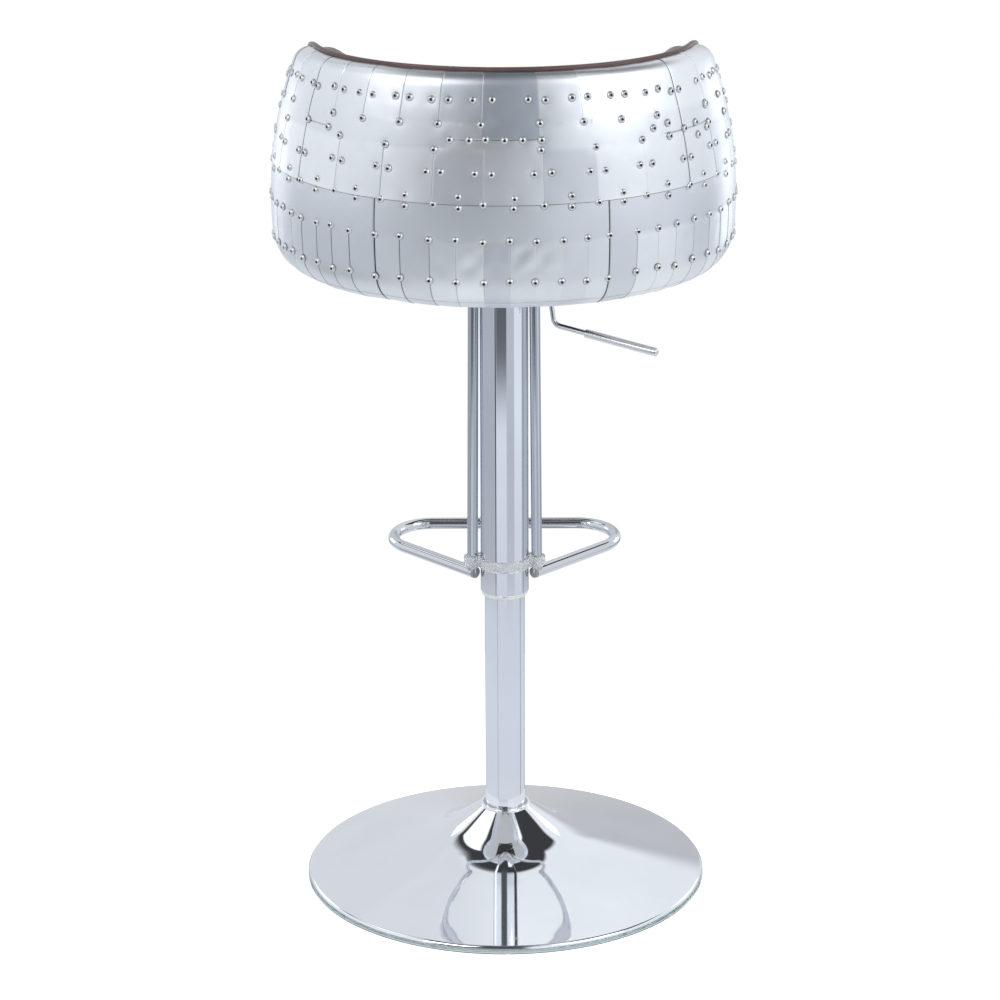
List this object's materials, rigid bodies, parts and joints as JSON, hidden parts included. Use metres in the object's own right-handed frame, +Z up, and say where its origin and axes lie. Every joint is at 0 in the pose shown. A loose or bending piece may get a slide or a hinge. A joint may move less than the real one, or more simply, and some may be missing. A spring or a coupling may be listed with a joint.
{
  "type": "swivel stool",
  "caption": "Height-adjustable swivel bar stool: round chrome trumpet base and gas column, tube footrest, and a low-back oval tub seat skinned in riveted aluminium with a dark leather lining.",
  "frame": {"origin": "on the floor, at the column's axis", "axes": "+Z up along the column, +Y the way the sitter faces, so that the picture looks along +Y at the back with +X to its right"},
  "size_m": [0.507, 0.4504, 0.9917],
  "materials": {
    "chrome": "bright chrome plate",
    "grip_chrome": "chrome plate, a little softer",
    "clear_trim": "clear moulded edge trim, slightly green",
    "ballast_iron": "rough cast",
    "inner_steel": "machined",
    "cream_plastic": "moulded, satin",
    "clear_collar": "milky clear moulding",
    "dark_plug": "moulded, satin",
    "seal_rubber": "matt",
    "cylinder_black": "satin black paint",
    "plate_black": "black powder coat",
    "zinc_bolts": "zinc plated",
    "plywood": "moulded plywood, unfinished",
    "dust_cloth": "black non-woven cloth",
    "skin_aluminium": "polished sheet, lightly brushed and dented",
    "brown_leather": "dark reddish brown, semi-gloss, fine grain",
    "welt_leather": "dark brown piping"
  },
  "bodies": {
    "base": {"base_dish": "chrome", "base_edge_trim": "clear_trim", "ballast_plate": "ballast_iron", "column_socket": "inner_steel", "neck_ring": "inner_steel", "column_tube": "chrome", "column_end_plate": "inner_steel", "column_bush": "cream_plastic", "bearing_lower_race": "inner_steel"},
    "gas_rod": {"piston_rod": "inner_steel", "piston": "seal_rubber", "rod_buffer": "seal_rubber", "bearing_upper_race": "inner_steel", "rod_clip": "inner_steel"},
    "bearing_cage": {"ball_cage": "cream_plastic", "bearing_balls": "inner_steel"},
    "seat": {"gas_cylinder": "cylinder_black", "cylinder_gland": "seal_rubber", "outer_sleeve": "chrome", "sleeve_guide_ring": "cream_plastic", "mount_plate": "plate_black", "cylinder_hub": "inner_steel", "plate_bolts": "zinc_bolts", "tee_nuts": "zinc_bolts", "lever_bracket": "plate_black", "lever_pivot_pin": "inner_steel", "footrest_loop": "chrome", "footrest_stem_left": "chrome", "footrest_stem_right": "chrome", "footrest_collar": "clear_collar", "footrest_end_plugs": "dark_plug", "stem_bolts": "zinc_bolts", "seat_board": "plywood", "dust_cover": "dust_cloth", "shell_core": "plywood", "rim_welt": "welt_leather", "back_pad": "brown_leather", "seat_cushion": "brown_leather", "skin_upper_back": "skin_aluminium", "skin_upper_left": "skin_aluminium", "skin_upper_right": "skin_aluminium", "skin_lower_back": "skin_aluminium", "skin_lower_left": "skin_aluminium", "skin_lower_right": "skin_aluminium"},
    "lever": {"lever_rod": "chrome", "lever_grip": "grip_chrome"},
    "valve": {"valve_pin": "inner_steel"}
  },
  "joints": [
    {"name": "seat_swivel", "type": "hinge", "parent": "base", "child": "gas_rod", "pos_m": [0, 0, 0.02], "axis": [0, 0, 1], "continuous": true},
    {"name": "cage_roll", "type": "hinge", "parent": "base", "child": "bearing_cage", "pos_m": [0, 0, 0.02], "axis": [0, 0, 1], "continuous": true},
    {"name": "seat_lift", "type": "slide", "parent": "gas_rod", "child": "seat", "axis": [0, 0, 1], "range_m": [-0.21, 0]},
    {"name": "lever_pull", "type": "hinge", "parent": "seat", "child": "lever", "pos_m": [0.02538, -0.01183, 0.7185], "axis": [-0.4226, -0.9063, 0], "range_deg": [0, 8], "stiffness_Nm_per_rad": 4, "springref_deg": -2.86},
    {"name": "valve_press", "type": "slide", "parent": "seat", "child": "valve", "axis": [0, 0, -1], "range_m": [0, 0.004]}
  ],
  "couplings": [
    {"joint": "cage_roll", "follows": "seat_swivel", "ratio": 0.5},
    {"joint": "valve_press", "follows": "lever_pull", "m_per_rad": 0.0284}
  ]
}
